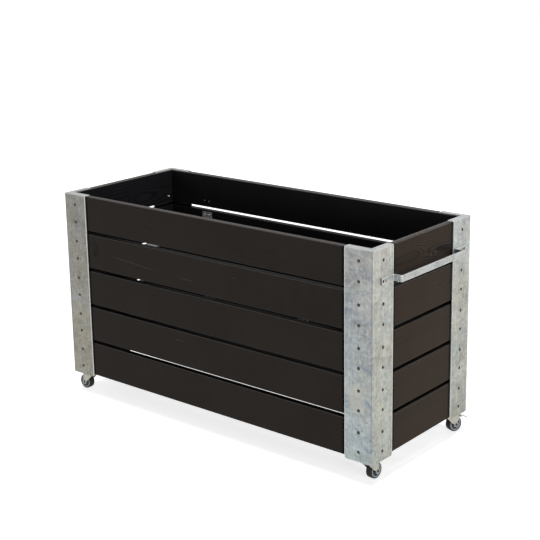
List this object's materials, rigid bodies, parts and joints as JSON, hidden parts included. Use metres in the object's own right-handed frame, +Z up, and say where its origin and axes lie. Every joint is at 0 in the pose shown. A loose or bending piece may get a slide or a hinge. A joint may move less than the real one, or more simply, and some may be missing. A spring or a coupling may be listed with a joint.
{
  "type": "rolling planter",
  "caption": "Long planter box of dark slatted boards with folded galvanised corner posts, a flat-bar handle on one end and small swivel casters under the corners.",
  "frame": {"origin": "on the ground, under the middle of the box", "axes": "+X along the long side towards the handle, +Y towards the back wall, +Z up"},
  "size_m": [1.3191, 0.5579, 0.7158],
  "materials": {
    "wall_wood": "dark stained, sawn and brushed softwood",
    "floor_wood": "dark stained, rough sawn",
    "galvanised_sheet": "hot-dip galvanised, dull with a faint spangle",
    "galvanised_bar": "galvanised, satin",
    "screw": "dark coated screws",
    "zinc": "zinc plated pressed steel",
    "axle_steel": "bright zinc",
    "rim_plastic": "blue-grey moulded plastic",
    "tyre_rubber": "matte black"
  },
  "bodies": {
    "box": {"front_board_1": "wall_wood", "front_board_2": "wall_wood", "front_board_3": "wall_wood", "front_board_4": "wall_wood", "front_board_5": "wall_wood", "back_board_1": "wall_wood", "back_board_2": "wall_wood", "back_board_3": "wall_wood", "back_board_4": "wall_wood", "back_board_5": "wall_wood", "left_board_1": "wall_wood", "left_board_2": "wall_wood", "left_board_3": "wall_wood", "left_board_4": "wall_wood", "left_board_5": "wall_wood", "right_board_1": "wall_wood", "right_board_2": "wall_wood", "right_board_3": "wall_wood", "right_board_4": "wall_wood", "right_board_5": "wall_wood", "post_front_right": "galvanised_sheet", "post_rear_right": "galvanised_sheet", "post_front_left": "galvanised_sheet", "post_rear_left": "galvanised_sheet", "post_screws": "screw", "handle": "galvanised_bar", "handle_screws": "screw", "strap_screws": "screw", "cross_tie_left": "galvanised_bar", "cross_tie_right": "galvanised_bar", "floor_bearer_left": "galvanised_bar", "floor_bearer_middle": "galvanised_bar", "floor_bearer_right": "galvanised_bar", "floor_board_1": "floor_wood", "floor_board_2": "floor_wood", "floor_board_3": "floor_wood", "floor_board_4": "floor_wood", "caster_plate_front_right": "zinc", "caster_plate_rear_right": "zinc", "caster_plate_front_left": "zinc", "caster_plate_rear_left": "zinc", "caster_bolts": "zinc"},
    "fork_front_right": {"fork_front_right": "zinc", "axle_front_right": "axle_steel"},
    "wheel_front_right": {"hub_front_right": "rim_plastic", "tyre_front_right": "tyre_rubber"},
    "fork_rear_right": {"fork_rear_right": "zinc", "axle_rear_right": "axle_steel"},
    "wheel_rear_right": {"hub_rear_right": "rim_plastic", "tyre_rear_right": "tyre_rubber"},
    "pedal_rear_right": {"brake_pedal_rear_right": "zinc"},
    "fork_front_left": {"fork_front_left": "zinc", "axle_front_left": "axle_steel"},
    "wheel_front_left": {"hub_front_left": "rim_plastic", "tyre_front_left": "tyre_rubber"},
    "fork_rear_left": {"fork_rear_left": "zinc", "axle_rear_left": "axle_steel"},
    "wheel_rear_left": {"hub_rear_left": "rim_plastic", "tyre_rear_left": "tyre_rubber"},
    "pedal_rear_left": {"brake_pedal_rear_left": "zinc"}
  },
  "joints": [
    {"name": "swivel_front_right", "type": "hinge", "parent": "box", "child": "fork_front_right", "pos_m": [0.598, -0.22, 0.07], "axis": [0, 0, 1], "continuous": true},
    {"name": "roll_front_right", "type": "hinge", "parent": "fork_front_right", "child": "wheel_front_right", "pos_m": [0.5996, -0.19706, 0.025], "axis": [-0.9976, 0.0698, 0], "continuous": true},
    {"name": "swivel_rear_right", "type": "hinge", "parent": "box", "child": "fork_rear_right", "pos_m": [0.598, 0.22, 0.07], "axis": [0, 0, 1], "continuous": true},
    {"name": "roll_rear_right", "type": "hinge", "parent": "fork_rear_right", "child": "wheel_rear_right", "pos_m": [0.60587, 0.24161, 0.025], "axis": [-0.9397, 0.342, 0], "continuous": true},
    {"name": "brake_rear_right", "type": "hinge", "parent": "fork_rear_right", "child": "pedal_rear_right", "pos_m": [0.60946, 0.25148, 0.054], "axis": [-0.9397, 0.342, 0], "range_deg": [0, 15]},
    {"name": "swivel_front_left", "type": "hinge", "parent": "box", "child": "fork_front_left", "pos_m": [-0.598, -0.22, 0.07], "axis": [0, 0, 1], "continuous": true},
    {"name": "roll_front_left", "type": "hinge", "parent": "fork_front_left", "child": "wheel_front_left", "pos_m": [-0.621, -0.2204, 0.025], "axis": [0.0175, -0.9998, 0], "continuous": true},
    {"name": "swivel_rear_left", "type": "hinge", "parent": "box", "child": "fork_rear_left", "pos_m": [-0.598, 0.22, 0.07], "axis": [0, 0, 1], "continuous": true},
    {"name": "roll_rear_left", "type": "hinge", "parent": "fork_rear_left", "child": "wheel_rear_left", "pos_m": [-0.60199, 0.24265, 0.025], "axis": [-0.9848, -0.1736, 0], "continuous": true},
    {"name": "brake_rear_left", "type": "hinge", "parent": "fork_rear_left", "child": "pedal_rear_left", "pos_m": [-0.60382, 0.25299, 0.054], "axis": [-0.9848, -0.1736, 0], "range_deg": [0, 15]}
  ]
}
